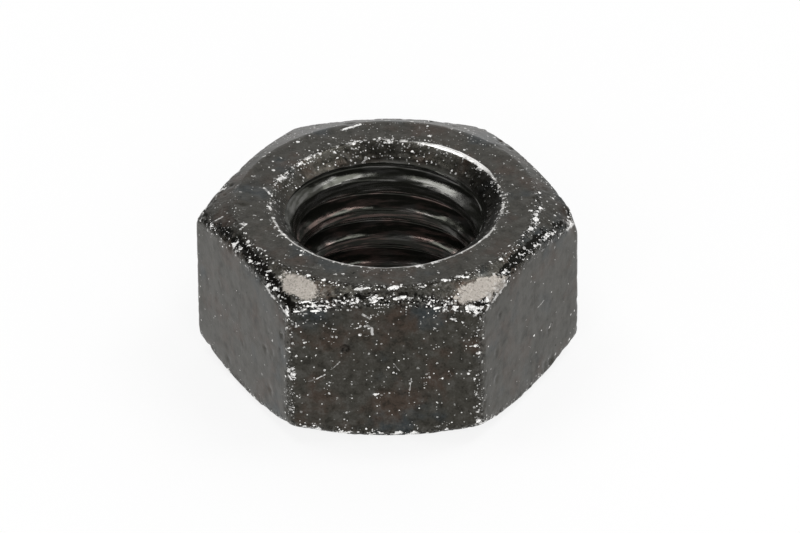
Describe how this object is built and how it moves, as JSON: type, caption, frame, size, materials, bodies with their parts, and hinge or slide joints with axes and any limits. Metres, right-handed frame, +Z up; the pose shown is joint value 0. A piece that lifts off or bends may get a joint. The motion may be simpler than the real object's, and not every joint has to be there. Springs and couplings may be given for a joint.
{
  "type": "hexagon nut",
  "caption": "Plain full-height hexagon nut in blackened steel, chamfered on both faces, with a coarse right-hand metric thread through it.",
  "frame": {"origin": "on the thread's axis, in the plane of the lower face that the nut rests on", "axes": "+Z up along the thread's axis, +X out through a corner, -Y out of the flat that faces the viewer"},
  "size_m": [0.0146, 0.0128, 0.0068],
  "materials": {
    "blackened_steel": "satin"
  },
  "bodies": {
    "root": {"hex_nut": "blackened_steel"}
  },
  "joints": []
}
